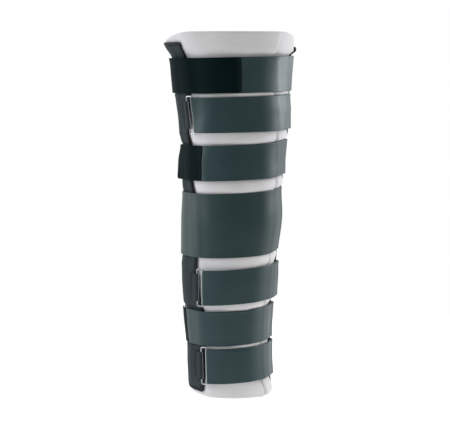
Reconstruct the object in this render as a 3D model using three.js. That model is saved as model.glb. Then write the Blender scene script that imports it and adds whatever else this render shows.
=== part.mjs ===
// A 20 inch knee immobilizer: a foam wrap lapped over the front of the leg, a stay panel down each side, and
// seven straps, six of which pass through a wire ring and fold back over themselves.
// Millimetres and degrees. +Z runs up the leg, and -Y, which is at 270 degrees, is the front of the knee.
import * as THREE from "three";

// Shape of the wrap's first layer at some heights: half sizes across and front to back, the shift of its
// middle, the angle of the flap's free edge, and how far forward of the left and right sides the front edges of
// the stay panels lie.
const SECTIONS = [
  { z: 0, halfWidth: 55.4, halfDepth: 58.9, shiftX: -0.7, shiftY: 7.5, flap: 298, left: 34.2, right: 12 },
  { z: 60, halfWidth: 55.3, halfDepth: 60.1, shiftX: -1.7, shiftY: 8.4, flap: 298, left: 34.2, right: 12 },
  { z: 120, halfWidth: 59.1, halfDepth: 64.7, shiftX: -2.2, shiftY: 9.4, flap: 299, left: 34, right: 12 },
  { z: 180, halfWidth: 62.8, halfDepth: 68.5, shiftX: -2, shiftY: 8.7, flap: 303, left: 30, right: 12 },
  { z: 240, halfWidth: 65.3, halfDepth: 70.4, shiftX: 1.7, shiftY: 6.2, flap: 304.5, left: 25.5, right: 12 },
  { z: 300, halfWidth: 67.5, halfDepth: 72.1, shiftX: 2.6, shiftY: 4.8, flap: 304, left: 20.5, right: 12 },
  { z: 360, halfWidth: 71.4, halfDepth: 75.7, shiftX: 4, shiftY: 4.5, flap: 299, left: 18.9, right: 12.5 },
  { z: 420, halfWidth: 77.8, halfDepth: 82, shiftX: 1.9, shiftY: 4.5, flap: 294, left: 21.7, right: 15 },
  { z: 470, halfWidth: 83.1, halfDepth: 87, shiftX: 0.4, shiftY: 4.5, flap: 291.5, left: 25, right: 19 },
  { z: 508, halfWidth: 90.7, halfDepth: 94.3, shiftX: -5.6, shiftY: 4.5, flap: 297, left: 27.5, right: 22 },
];

// Sizes
const LENGTH = 508;
const SEAT_GAP = 0.5;
const FOAM_THICKNESS = 6.5;
const UNDER_EDGE = 258;
const LAP_RISE = { from: 218, to: 256 };
const TOP_EDGE = { middle: 262, level: 40, low: 100, drop: 10 };
const FLAP_CORNER = 11;
const PANEL = { bottom: 6, width: 76, thickness: 2.6, corner: 9, seat: 0.6 };
const RIDGE = { width: 30, slope: 7, height: 1 };
const BINDING = { width: 4, height: 3.1 };
const STRAP_WIDTH = 48.5;
const STRAP_THICKNESS = 1.5;
const WIRE = 2.2;
const RING = { opening: 49.5, pitch: 11, corner: 2.2 };
const KEEPER = { height: 38, thickness: 0.9, tail: 15 };

// Straps from the thigh down: middle height at the front, climb from left to right, side of the ring, and the
// angles of the ring's front bar, of the sewn end, of the seam with the hook tab and of the tab's free end
const RINGED_STRAPS = [
  { name: "thigh_strap_top", z: 448.9, climb: 2.2, ring: "right", bar: 356, sewn: 152, seam: 260.3, end: 157 },
  { name: "thigh_strap_middle", z: 395.3, climb: 2.5, ring: "left", bar: 210.5, sewn: 388, seam: 358, end: 383 },
  { name: "thigh_strap_lower", z: 329.6, climb: 4, ring: "right", bar: 356, sewn: 150, seam: 213, end: 166 },
  { name: "calf_strap_upper", z: 157.7, climb: 6, ring: "left", bar: 223, sewn: 388, seam: 356, end: 383 },
  { name: "calf_strap_middle", z: 99.0, climb: 5, ring: "right", bar: 356, sewn: 152, seam: 184, end: 157 },
  { name: "calf_strap_lower", z: 46.6, climb: 4, ring: "left", bar: 224.5, sewn: 388, seam: 356, end: 383 },
];
const KNEE_STRAP = { name: "knee_strap", z: 243.1, climb: 4, width: 89, from: 152, to: 388 };
// One tab's free end has come a little loose: how far its lower and upper corners stand off, over what length
const LOOSE_TAB = { strap: "thigh_strap_lower", corners: [3, 0], length: 16 };
const CLIMB_ANGLES = { from: 222, level: 250, to: 330, span: 70 };

// Fineness of the meshes
const TURN_COLUMNS = 36;
const FLAP_COLUMNS = 4;
const STRAP_STEP = 7.5;
const TAUT_SHARES = [-0.8, -0.4, 0, 0.4, 0.8];
const FOLD_STEPS = 6;
const KNEE_ROWS = 6;
const OUTLINE_STEP = 1.5;
const PANEL_STEP = 2;
const CORNER_STEPS = 3;
const ROW_CLEARANCE = 5;
const WIRE_SIDES = 6;
const KEEPER_SHARES = [1, 0.7, 0.45, 0.2, 0];
const PANEL_COLUMNS = [0, 0.12, 0.25, 0.32, 0.5, 0.68, 0.75, 0.88, 1];
const BINDING_COLUMNS = [0.2, 0.4, 0.6, 0.8];

const FABRIC = {
  foam: 0xc4c1c6,
  panel: 0x3d4447,
  binding: 0x191c1d,
  strap: 0x36464a,
  tab: 0x14191a,
  ring: 0xc2c4c6,
};

const { clamp, degToRad, euclideanModulo, lerp, radToDeg, smoothstep } = THREE.MathUtils;

// Rows of the wrap, of the panels and of their bindings: the table's heights and the middles between them
const ROW_HEIGHTS = SECTIONS.flatMap((row, i) => (i ? [(SECTIONS[i - 1].z + row.z) / 2, row.z] : [row.z]));

// Smooth values of the section table at height z, by a cubic curve through its rows
function sectionAt(z) {
  const above = SECTIONS.findIndex((row) => row.z >= z);
  const next = above < 0 ? SECTIONS.length - 1 : Math.max(above, 1);
  const [a, b] = [SECTIONS[next - 1], SECTIONS[next]];
  const step = b.z - a.z;
  const t = clamp((z - a.z) / step, 0, 1);
  const mixed = {};
  for (const column of Object.keys(a)) {
    const rise = b[column] - a[column];
    const bendA = step * slopeAt(next - 1, column) - rise;
    const bendB = rise - step * slopeAt(next, column);
    mixed[column] = a[column] + t * rise + t * (1 - t) * ((1 - t) * bendA + t * bendB);
  }
  return mixed;
}

// Slope of a column at one row of the table, from the rows beside it
function slopeAt(row, column) {
  const a = SECTIONS[Math.max(row - 1, 0)];
  const b = SECTIONS[Math.min(row + 1, SECTIONS.length - 1)];
  return (b[column] - a[column]) / (b.z - a.z);
}

// Distance of the first layer's outer face from the section's middle
function limbRadius(angle, section) {
  const turn = degToRad(angle);
  return 1 / Math.hypot(Math.cos(turn) / section.halfWidth, Math.sin(turn) / section.halfDepth);
}

function planPoint(angle, radius, section) {
  const turn = degToRad(angle);
  return { x: section.shiftX + radius * Math.cos(turn), y: section.shiftY + radius * Math.sin(turn) };
}

// How far the wrap is lifted at a wrap angle, which runs on past 360 degrees into the flap
function lapLift(wrapAngle) {
  return (FOAM_THICKNESS + SEAT_GAP) * smoothstep(wrapAngle - 360, LAP_RISE.from, LAP_RISE.to);
}

// Outer face of the wrap as a strap meets it
function wrapRadius(angle, section) {
  const lift = angle <= section.flap ? lapLift(angle + 360) : 0;
  return limbRadius(angle, section) + lift;
}

// The two stay panels: "ahead" is the sign of the turn from the side towards the front
const SIDES = {
  left: { name: "left", ahead: 1, top: 494, edge: (section) => 180 + section.left },
  right: { name: "right", ahead: -1, top: 488, edge: (section) => 360 - section.right },
};

function panelRadius(section) {
  return (section.halfWidth + section.halfDepth + PANEL.thickness) / 2;
}

function panelAngle(side, back, section) {
  return side.edge(section) - side.ahead * radToDeg(back / panelRadius(section));
}

function panelPoint(side, back, z, height) {
  const section = sectionAt(z);
  const angle = panelAngle(side, back, section);
  return { ...planPoint(angle, limbRadius(angle, section) + PANEL.seat + height, section), z };
}

// Height of the panel's outer face, raised over the stay
function panelHeight(back) {
  const fromMiddle = Math.abs(back - PANEL.width / 2);
  const ridgeEdge = RIDGE.width / 2;
  return PANEL.thickness + RIDGE.height * (1 - smoothstep(fromMiddle, ridgeEdge - RIDGE.slope, ridgeEdge));
}

function panelTop(back) {
  const fromEdge = Math.min(back, PANEL.width - back);
  return fromEdge < BINDING.width ? BINDING.height : panelHeight(back);
}

// A point "height" over the panel, or at the level of its binding in front of it
function overPanel(side, angle, z, height) {
  const section = sectionAt(z);
  const back = side.ahead * degToRad(side.edge(section) - angle) * panelRadius(section);
  const level = PANEL.seat + Math.max(BINDING.height, panelHeight(back));
  return { ...planPoint(angle, limbRadius(angle, section) + level + height, section), z };
}

// Outline of wrap and panels at one height, pulled taut
function tautOutline(z) {
  const section = sectionAt(z);
  const points = [planPoint(section.flap, wrapRadius(section.flap, section), section)];
  for (let angle = 0; angle < 360; angle += OUTLINE_STEP) {
    points.push(planPoint(angle, wrapRadius(angle, section), section));
  }
  for (const side of Object.values(SIDES)) {
    for (let back = 0; back <= PANEL.width; back += PANEL_STEP) {
      points.push(panelPoint(side, back, z, panelTop(back)));
    }
  }
  return { section, corners: convexHull(points) };
}

function convexHull(points) {
  const sorted = [...points].sort((a, b) => a.x - b.x || a.y - b.y);
  const half = (list) => {
    const chain = [];
    for (const p of list) {
      while (chain.length > 1 && cross(chain.at(-2), chain.at(-1), p) <= 0) chain.pop();
      chain.push(p);
    }
    return chain.slice(0, -1);
  };
  return [...half(sorted), ...half(sorted.reverse())];
}

function cross(o, a, b) {
  return (a.x - o.x) * (b.y - o.y) - (a.y - o.y) * (b.x - o.x);
}

// Distance from the section's middle to the taut outline in one direction
function outlineRadius(angle, outline) {
  const middle = { x: outline.section.shiftX, y: outline.section.shiftY };
  const tip = planPoint(angle, 1, outline.section);
  const corners = outline.corners;
  for (let i = 0; i < corners.length; i += 1) {
    const [a, b] = [corners[i], corners[(i + 1) % corners.length]];
    const [sideA, sideB] = [cross(middle, tip, a), cross(middle, tip, b)];
    if (sideA <= 0 && sideB > 0) {
      const t = sideA / (sideA - sideB);
      return Math.hypot(lerp(a.x, b.x, t) - middle.x, lerp(a.y, b.y, t) - middle.y);
    }
  }
  throw new Error("the outline doesn't go round the middle");
}

// A strap is too stiff to follow a sharp corner, so it keeps to the highest point beside it
function tautRadius(angle, outline) {
  const beside = TAUT_SHARES.map((share) => angle + share * STRAP_STEP);
  return Math.max(...beside.map((a) => outlineRadius(a, outline)));
}

// A strap climbs a little from left to right
function climbAt(strap, angle) {
  const { from, level, to, span } = CLIMB_ANGLES;
  return (strap.climb * (clamp(angle, from, to) - level)) / span;
}

// One point of a strap's middle surface, "offset" off the taut outline, with the direction of its face
function strapPoint(strap, outline, z, angle, offset, facing) {
  const height = z + climbAt(strap, angle);
  const there = sectionAt(height);
  const taper = limbRadius(angle, there) - limbRadius(angle, outline.section);
  const radius = tautRadius(angle, outline) + taper + offset;
  const turn = degToRad(angle);
  const point = { ...planPoint(angle, radius, there), z: height };
  return { ...point, faceX: facing * Math.cos(turn), faceY: facing * Math.sin(turn) };
}

// Solids. A slab is a sheet of columns by rows with an inner and an outer face.
function slab(columns, rows, pointAt) {
  const stride = rows + 1;
  const index = (i, j, face) => (i * stride + j) * 2 + face;
  const vertices = [];
  const triangles = [];
  const quad = (a, b, c, d) => triangles.push(a, b, c, a, c, d);
  for (let i = 0; i <= columns; i += 1) {
    for (let j = 0; j <= rows; j += 1) {
      for (const face of [0, 1]) {
        const p = pointAt(i, j, face);
        vertices.push(p.x, p.y, p.z);
      }
    }
  }
  for (let i = 0; i < columns; i += 1) {
    for (let j = 0; j < rows; j += 1) {
      quad(index(i, j, 1), index(i + 1, j, 1), index(i + 1, j + 1, 1), index(i, j + 1, 1));
      quad(index(i, j, 0), index(i, j + 1, 0), index(i + 1, j + 1, 0), index(i + 1, j, 0));
    }
    quad(index(i, 0, 0), index(i + 1, 0, 0), index(i + 1, 0, 1), index(i, 0, 1));
    quad(index(i, rows, 1), index(i + 1, rows, 1), index(i + 1, rows, 0), index(i, rows, 0));
  }
  for (let j = 0; j < rows; j += 1) {
    quad(index(0, j, 0), index(0, j, 1), index(0, j + 1, 1), index(0, j + 1, 0));
    quad(index(columns, j, 1), index(columns, j, 0), index(columns, j + 1, 0), index(columns, j + 1, 1));
  }
  return facingOut(vertices, triangles);
}

// A hoop is a closed bar of "corners" points round its section
function hoop(count, corners, pointAt) {
  const vertices = [];
  const triangles = [];
  const index = (i, k) => (i % count) * corners + (k % corners);
  for (let i = 0; i < count; i += 1) {
    for (let k = 0; k < corners; k += 1) {
      const p = pointAt(i, k);
      vertices.push(p.x, p.y, p.z);
      const [a, b, c, d] = [index(i, k), index(i + 1, k), index(i + 1, k + 1), index(i, k + 1)];
      triangles.push(a, b, c, a, c, d);
    }
  }
  return facingOut(vertices, triangles);
}

function facingOut(vertices, triangles) {
  const at = (i) => new THREE.Vector3().fromArray(vertices, i * 3);
  let volume = 0;
  for (let i = 0; i < triangles.length; i += 3) {
    volume += at(triangles[i]).dot(at(triangles[i + 1]).cross(at(triangles[i + 2])));
  }
  if (volume < 0) triangles.reverse();
  const geometry = new THREE.BufferGeometry();
  geometry.setAttribute("position", new THREE.Float32BufferAttribute(vertices, 3));
  geometry.setIndex(triangles);
  geometry.computeVertexNormals();
  return geometry;
}

// Distance that a rounded corner takes from a straight edge, "along" from the corner
function cornerInset(along, radius) {
  const short = Math.max(0, radius - along);
  return radius - Math.sqrt(radius * radius - short * short);
}

// The wrap's top edge is level across the front, and lower at the sides and back
function topEdge(wrapAngle) {
  const turn = Math.abs(euclideanModulo(wrapAngle - TOP_EDGE.middle + 180, 360) - 180);
  return LENGTH - TOP_EDGE.drop * smoothstep(turn, TOP_EDGE.level, TOP_EDGE.low);
}

function foamWrap() {
  const cornerShares = [1, 0.55, 0.25, 0.08, 0];
  const edgeTurn = (share) => radToDeg((share * FLAP_CORNER) / SECTIONS[0].halfWidth);
  const straight = TURN_COLUMNS + FLAP_COLUMNS;
  const columns = straight + cornerShares.length - 1;
  const lastRow = ROW_HEIGHTS.length - 1;
  return slab(columns, lastRow, (i, j, face) => {
    const flapEdge = sectionAt(ROW_HEIGHTS[j]).flap + 360;
    let wrapAngle = UNDER_EDGE + (360 * i) / TURN_COLUMNS;
    if (i > straight) {
      wrapAngle = flapEdge - edgeTurn(cornerShares[i - straight]);
    } else if (i > TURN_COLUMNS) {
      wrapAngle = lerp(UNDER_EDGE + 360, flapEdge - edgeTurn(1), (i - TURN_COLUMNS) / FLAP_COLUMNS);
    }
    const toEdge = degToRad(flapEdge - wrapAngle) * SECTIONS[0].halfWidth;
    const corner = cornerInset(toEdge, FLAP_CORNER);
    const z = clamp(ROW_HEIGHTS[j], corner, j < lastRow ? LENGTH : topEdge(wrapAngle) - corner);
    const section = sectionAt(z);
    const radius = limbRadius(wrapAngle, section) + lapLift(wrapAngle) - (face ? 0 : FOAM_THICKNESS);
    return { ...planPoint(wrapAngle, radius, section), z };
  });
}

// Row heights between two ends, clear of them
function rowsBetween(low, high) {
  return ROW_HEIGHTS.filter((z) => z > low + ROW_CLEARANCE && z < high - ROW_CLEARANCE);
}

// Rounded corners end a panel's columns early near its top and bottom
function panelRowHeights(low, high, corner) {
  const ends = [];
  for (let k = 0; k <= CORNER_STEPS; k += 1) {
    ends.push(corner * (1 - Math.cos((k / CORNER_STEPS) * (Math.PI / 2))));
  }
  const middle = rowsBetween(low + corner, high - corner);
  return [...ends.map((e) => low + e), ...middle, ...ends.toReversed().map((e) => high - e)];
}

function stayPanel(side) {
  const inset = BINDING.width + SEAT_GAP;
  const corner = PANEL.corner - inset;
  const heights = panelRowHeights(PANEL.bottom + inset, side.top - inset, corner);
  return slab(PANEL_COLUMNS.length - 1, heights.length - 1, (i, j, face) => {
    const toEnd = Math.min(heights[j] - heights[0], heights.at(-1) - heights[j]);
    const from = inset + cornerInset(toEnd, corner);
    const back = lerp(from, PANEL.width - from, PANEL_COLUMNS[i]);
    return panelPoint(side, back, heights[j], face ? panelHeight(back) : 0);
  });
}

// Loop of points round a rounded rectangle, each with the direction that points out of it. Its upright sides
// also have points at the shares "rows" of their length from the bottom, and its level sides at "columns".
function roundedLoop(width, height, radius, rows = [], columns = []) {
  const loop = [];
  const arcs = [[1, 1, 0], [-1, 1, 90], [-1, -1, 180], [1, -1, 270]];
  const sideShares = [columns, rows.map((share) => 1 - share).toReversed(), columns, rows];
  arcs.forEach(([signX, signY, start], k) => {
    const middle = { x: signX * (width / 2 - radius), y: signY * (height / 2 - radius) };
    for (let step = 0; step <= CORNER_STEPS; step += 1) {
      const turn = degToRad(start + (90 * step) / CORNER_STEPS);
      const out = { x: Math.cos(turn), y: Math.sin(turn) };
      loop.push({ x: middle.x + radius * out.x, y: middle.y + radius * out.y, out });
    }
    const next = arcs[(k + 1) % arcs.length];
    const from = loop.at(-1);
    const to = {
      x: next[0] * (width / 2 - radius) + radius * from.out.x,
      y: next[1] * (height / 2 - radius) + radius * from.out.y,
    };
    for (const share of sideShares[k]) {
      loop.push({ x: lerp(from.x, to.x, share), y: lerp(from.y, to.y, share), out: from.out });
    }
  });
  return loop;
}

function panelBinding(side) {
  const [low, high] = [PANEL.bottom + PANEL.corner, side.top - PANEL.corner];
  const rows = rowsBetween(low, high).map((z) => (z - low) / (high - low));
  const loop = roundedLoop(PANEL.width, side.top - PANEL.bottom, PANEL.corner, rows, BINDING_COLUMNS);
  const middle = (side.top + PANEL.bottom) / 2;
  const corners = [
    { inset: 0, height: 0 },
    { inset: BINDING.width, height: 0 },
    { inset: BINDING.width, height: BINDING.height },
    { inset: 0, height: BINDING.height },
  ];
  return hoop(loop.length, corners.length, (i, k) => {
    const { x, y, out } = loop[i];
    const { inset, height } = corners[k];
    return panelPoint(side, PANEL.width / 2 + x - inset * out.x, middle + y - inset * out.y, height);
  });
}

// Middle of the ring's front bar at one height of a strap, and the plan directions out of and behind it
const FOLD_RADIUS = WIRE / 2 + SEAT_GAP + STRAP_THICKNESS / 2;
const FIRST_LAYER = SEAT_GAP + STRAP_THICKNESS / 2;
const SECOND_LAYER = FIRST_LAYER + STRAP_THICKNESS + SEAT_GAP;
const FOLD_EASE = 18;
const KEEPER_EASE = 0.7;

// Angle of a place "back" behind the front bar of a strap's ring
function angleBehindBar(strap, back) {
  return strap.bar - SIDES[strap.ring].ahead * radToDeg(back / panelRadius(sectionAt(strap.z)));
}

function barAt(strap, outline, z) {
  const side = SIDES[strap.ring];
  const middle = strapPoint(strap, outline, z, strap.bar, FIRST_LAYER + FOLD_RADIUS, 1);
  const out = { x: middle.faceX, y: middle.faceY };
  const behind = { x: side.ahead * out.y, y: -side.ahead * out.x };
  return { middle, out, behind };
}

// The second layer stands higher near the ring, where it comes over the bar
function secondLayer(strap, angle, section) {
  const away = degToRad(Math.abs(angle - strap.bar)) * section.halfWidth;
  const rise = 2 * FOLD_RADIUS - STRAP_THICKNESS - SEAT_GAP;
  return SECOND_LAYER + rise * (1 - smoothstep(away, 0, FOLD_EASE));
}

// Angles from one end of a strap to the other, at whole steps between, so that layers bend at the same places
function stripAngles(from, to) {
  const ahead = Math.sign(to - from);
  const angles = [from];
  for (let k = Math.floor((ahead * from) / STRAP_STEP) + 1; k * STRAP_STEP < ahead * to; k += 1) {
    const angle = ahead * k * STRAP_STEP;
    const clearOfEnds = Math.min(Math.abs(angle - from), Math.abs(to - angle));
    if (clearOfEnds > STRAP_STEP / 4) angles.push(angle);
  }
  return [...angles, to];
}

// Path of a ringed strap at one height: out over the front, round the bar, and back over itself
function foldedPath(strap, z) {
  const outline = tautOutline(z);
  const layer = (from, to, offsetAt, facing) =>
    stripAngles(from, to).map((angle) => strapPoint(strap, outline, z, angle, offsetAt(angle), facing));
  const { middle, out, behind } = barAt(strap, outline, z);
  return [
    ...layer(strap.sewn, strap.bar, () => FIRST_LAYER, -1),
    ...foldRound(middle, out, behind, FOLD_RADIUS),
    ...layer(strap.bar, strap.seam, (angle) => secondLayer(strap, angle, outline.section), 1),
  ];
}

// Half a turn round a bar, from its inner side past "beyond" to its outer side
function foldRound(bar, out, beyond, radius) {
  return Array.from({ length: FOLD_STEPS - 1 }, (_, i) => {
    const turn = (Math.PI * (i + 1)) / FOLD_STEPS;
    const faceX = beyond.x * Math.sin(turn) - out.x * Math.cos(turn);
    const faceY = beyond.y * Math.sin(turn) - out.y * Math.cos(turn);
    return { x: bar.x + radius * faceX, y: bar.y + radius * faceY, z: bar.z, faceX, faceY };
  });
}

// A ribbon through paths of equal length, one for each row from bottom to top
function ribbon(paths, thickness) {
  return slab(paths[0].length - 1, paths.length - 1, (i, j, face) => {
    const p = paths[j][i];
    const shift = (face - 0.5) * thickness;
    return { x: p.x + shift * p.faceX, y: p.y + shift * p.faceY, z: p.z };
  });
}

function rowHeights(middle, width, rows) {
  return Array.from({ length: rows + 1 }, (_, j) => middle - width / 2 + (width * j) / rows);
}

function ringedStrap(strap) {
  const rows = rowHeights(strap.z, STRAP_WIDTH, 1);
  return ribbon(rows.map((z) => foldedPath(strap, z)), STRAP_THICKNESS);
}

// The hook tab carries the second layer on from its seam
function hookTab(strap) {
  const rows = rowHeights(strap.z, STRAP_WIDTH, 1);
  const corners = strap.name === LOOSE_TAB.strap ? LOOSE_TAB.corners : [0, 0];
  const toEnd = Math.sign(strap.end - strap.seam);
  const start = strap.seam + toEnd * radToDeg(SEAT_GAP / sectionAt(strap.z).halfWidth);
  const paths = rows.map((z, j) => {
    const outline = tautOutline(z);
    return stripAngles(strap.end, start).map((angle) => {
      const left = degToRad(Math.abs(strap.end - angle)) * outline.section.halfWidth;
      const flare = corners[j] * (1 - smoothstep(left, 0, LOOSE_TAB.length));
      return strapPoint(strap, outline, z, angle, SECOND_LAYER + flare, 1);
    });
  });
  return ribbon(paths, STRAP_THICKNESS);
}

function kneeStrap() {
  const angles = stripAngles(KNEE_STRAP.from, KNEE_STRAP.to);
  const paths = rowHeights(KNEE_STRAP.z, KNEE_STRAP.width, KNEE_ROWS).map((z) => {
    const outline = tautOutline(z);
    return angles.map((angle) => strapPoint(KNEE_STRAP, outline, z, angle, FIRST_LAYER, 1));
  });
  return ribbon(paths, STRAP_THICKNESS);
}

// Axes of a ring: its middle, "up" along the bars and "behind" from the front bar to the rear one
const vector = (p) => new THREE.Vector3(p.x, p.y, p.z);

function ringFrame(strap) {
  const side = SIDES[strap.ring];
  const barMiddle = (z) => vector(barAt(strap, tautOutline(z), z).middle);
  const [low, high] = rowHeights(strap.z, STRAP_WIDTH, 1).map(barMiddle);
  const front = low.clone().lerp(high, 0.5);
  const up = high.clone().sub(low).normalize();
  const lift = KEEPER.thickness + WIRE / 2 + 4 * SEAT_GAP;
  const seat = overPanel(side, angleBehindBar(strap, RING.pitch), front.z, lift);
  const behind = vector(seat).sub(front);
  behind.addScaledVector(up, -behind.dot(up)).setLength(RING.pitch);
  return { front, up, behind, rear: front.clone().add(behind) };
}

function wireRing(strap) {
  const { front, up, behind, rear } = ringFrame(strap);
  const middle = front.clone().lerp(rear, 0.5);
  const across = behind.clone().normalize();
  const normal = across.clone().cross(up);
  const loop = roundedLoop(RING.pitch, RING.opening + WIRE, RING.corner);
  return hoop(loop.length, WIRE_SIDES, (i, k) => {
    const { x, y, out } = loop[i];
    const turn = (2 * Math.PI * k) / WIRE_SIDES;
    const reach = (WIRE / 2) * Math.cos(turn);
    return middle
      .clone()
      .addScaledVector(across, x + reach * out.x)
      .addScaledVector(up, y + reach * out.y)
      .addScaledVector(normal, (WIRE / 2) * Math.sin(turn));
  });
}

// The keeper runs forward along the panel, round the rear bar and back over itself
function ringKeeper(strap) {
  const side = SIDES[strap.ring];
  const { rear, up } = ringFrame(strap);
  const loopRadius = WIRE / 2 + SEAT_GAP + KEEPER.thickness / 2;
  const barTurn = angleBehindBar(strap, RING.pitch);
  const tailTurn = angleBehindBar(strap, RING.pitch + KEEPER.tail);
  const out = { x: Math.cos(degToRad(barTurn)), y: Math.sin(degToRad(barTurn)) };
  const forward = { x: -side.ahead * out.y, y: side.ahead * out.x };
  const paths = rowHeights(rear.z, KEEPER.height, 1).map((z) => {
    const bar = rear.clone().addScaledVector(up, (z - rear.z) / up.z);
    const layer = (share, facing, height) => {
      const flat = overPanel(side, lerp(barTurn, tailTurn, share), z, height);
      const underBar = overPanel(side, barTurn, z, height);
      const ease = 1 - smoothstep(share, 0, KEEPER_EASE);
      const x = flat.x + (bar.x + facing * loopRadius * out.x - underBar.x) * ease;
      const y = flat.y + (bar.y + facing * loopRadius * out.y - underBar.y) * ease;
      return { x, y, z, faceX: facing * out.x, faceY: facing * out.y };
    };
    const lower = SEAT_GAP + KEEPER.thickness / 2;
    const upper = lower + KEEPER.thickness + SEAT_GAP;
    return [
      ...KEEPER_SHARES.map((share) => layer(share, -1, lower)),
      ...foldRound(bar, out, forward, loopRadius),
      ...KEEPER_SHARES.toReversed().map((share) => layer(share, 1, upper)),
    ];
  });
  return ribbon(paths, KEEPER.thickness);
}

// The assembly
const immobilizer = new THREE.Group();

function addPiece(name, geometry, color, roughness = 0.9, metalness = 0) {
  const mesh = new THREE.Mesh(geometry, new THREE.MeshStandardMaterial({ color, roughness, metalness }));
  mesh.name = name;
  immobilizer.add(mesh);
}

addPiece("foam_wrap", foamWrap(), FABRIC.foam);
for (const side of Object.values(SIDES)) {
  addPiece(`${side.name}_stay_panel`, stayPanel(side), FABRIC.panel);
  addPiece(`${side.name}_panel_binding`, panelBinding(side), FABRIC.binding);
}
addPiece(KNEE_STRAP.name, kneeStrap(), FABRIC.strap);
for (const strap of RINGED_STRAPS) {
  addPiece(strap.name, ringedStrap(strap), FABRIC.strap);
  addPiece(`${strap.name}_tab`, hookTab(strap), FABRIC.tab);
  addPiece(`${strap.name}_ring`, wireRing(strap), FABRIC.ring, 0.25, 1);
  addPiece(`${strap.name}_keeper`, ringKeeper(strap), FABRIC.panel);
}

export default immobilizer;
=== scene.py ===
"""A 20 inch knee immobilizer: a lapped foam wrap, a stay panel down each side and seven straps.

Lengths are in millimetres and angles in degrees until a mesh is made. +Z runs up the leg, -Y is the front.
"""
import math
from types import SimpleNamespace as Sizes

import bpy
import numpy as np
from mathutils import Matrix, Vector
from mathutils.geometry import convex_hull_2d


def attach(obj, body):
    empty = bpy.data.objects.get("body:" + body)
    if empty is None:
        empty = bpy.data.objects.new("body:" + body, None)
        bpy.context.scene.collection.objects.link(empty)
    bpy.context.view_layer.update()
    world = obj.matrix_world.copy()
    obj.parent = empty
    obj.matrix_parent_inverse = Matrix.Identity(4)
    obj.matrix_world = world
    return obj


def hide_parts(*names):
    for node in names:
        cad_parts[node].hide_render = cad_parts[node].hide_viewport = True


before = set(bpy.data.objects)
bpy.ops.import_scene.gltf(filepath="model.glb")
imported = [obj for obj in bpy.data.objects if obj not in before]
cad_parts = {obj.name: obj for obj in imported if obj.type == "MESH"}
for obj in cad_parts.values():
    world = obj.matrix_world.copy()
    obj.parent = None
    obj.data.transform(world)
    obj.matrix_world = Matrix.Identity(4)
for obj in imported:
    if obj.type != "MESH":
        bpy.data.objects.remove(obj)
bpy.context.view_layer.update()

MM = 0.001
CLOTH_MAP = "cloth"

# Shape of the wrap's first layer: height, half sizes across and front to back, the shift of its middle, the
# angle of the flap's free edge, how far forward of the left and right sides the panels' front edges lie,
# and the same for the left panel's back half, which the rings don't pull
SECTIONS = np.array([
    (0, 55.4, 58.9, -0.7, 7.5, 298, 34.2, 12, 34.2),
    (60, 55.3, 60.1, -1.7, 8.4, 298, 37.5, 12, 34.2),
    (120, 59.1, 64.7, -2.2, 9.4, 299, 37, 12, 34),
    (180, 62.8, 68.5, -2, 8.7, 303, 30.5, 12, 30),
    (240, 65.3, 70.4, 1.7, 6.2, 304.5, 25.5, 12, 25.5),
    (300, 67.5, 72.1, 2.6, 4.8, 304, 18.6, 12, 20.5),
    (360, 71.4, 75.7, 4, 4.5, 299, 14, 12.5, 18.9),
    (420, 77.8, 82, 1.9, 4.5, 294, 24, 15, 21.7),
    (470, 83.1, 87, 0.4, 4.5, 291.5, 22, 19, 25),
    (508, 90.7, 94.3, -5.6, 4.5, 297, 30, 22, 27.5),
])
HEIGHT, HALF_WIDTH, HALF_DEPTH, SHIFT_X, SHIFT_Y, FLAP, LEFT_EDGE, RIGHT_EDGE, LEFT_BACK = range(9)
BELOW = SECTIONS[np.maximum(np.arange(len(SECTIONS)) - 1, 0)]
ABOVE = SECTIONS[np.minimum(np.arange(len(SECTIONS)) + 1, len(SECTIONS) - 1)]
SLOPES = (ABOVE - BELOW) / (ABOVE - BELOW)[:, :1]

# Sizes
LENGTH = 508
SEAT_GAP = 0.5
FOAM_THICKNESS = 6.5
UNDER_EDGE = 258
LAP_RISE = (218, 256)
TOP_EDGE = Sizes(middle=262, level=40, low=100, drop=10)
FLAP_CORNER = 5
PANEL = Sizes(bottom=6, width=76, thickness=2.6, corner=5.5, seat=0.6)
PANEL_TOP = {"left": 494, "right": 488}
LEFT_PULL_REACH = 48
RIDGE = Sizes(width=30, slope=7, height=1)
BINDING = Sizes(width=4, height=3.1)
STRAP_WIDTH = 48.5
STRAP_THICKNESS = 1.5
WIRE = 2.2
RING = Sizes(opening=49.5, pitch=11, corner=2.2)
KEEPER = Sizes(height=38, thickness=0.9, tail=15)
FOLD_RADIUS = WIRE / 2 + SEAT_GAP + STRAP_THICKNESS / 2
FIRST_LAYER = SEAT_GAP + STRAP_THICKNESS / 2
SECOND_LAYER = FIRST_LAYER + STRAP_THICKNESS + SEAT_GAP
# A strap comes down from a left or right ring's bar over this length, a keeper over this share of its tail
FOLD_EASE = {"left": 40, "right": 18}
KEEPER_EASE = 0.7

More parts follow.
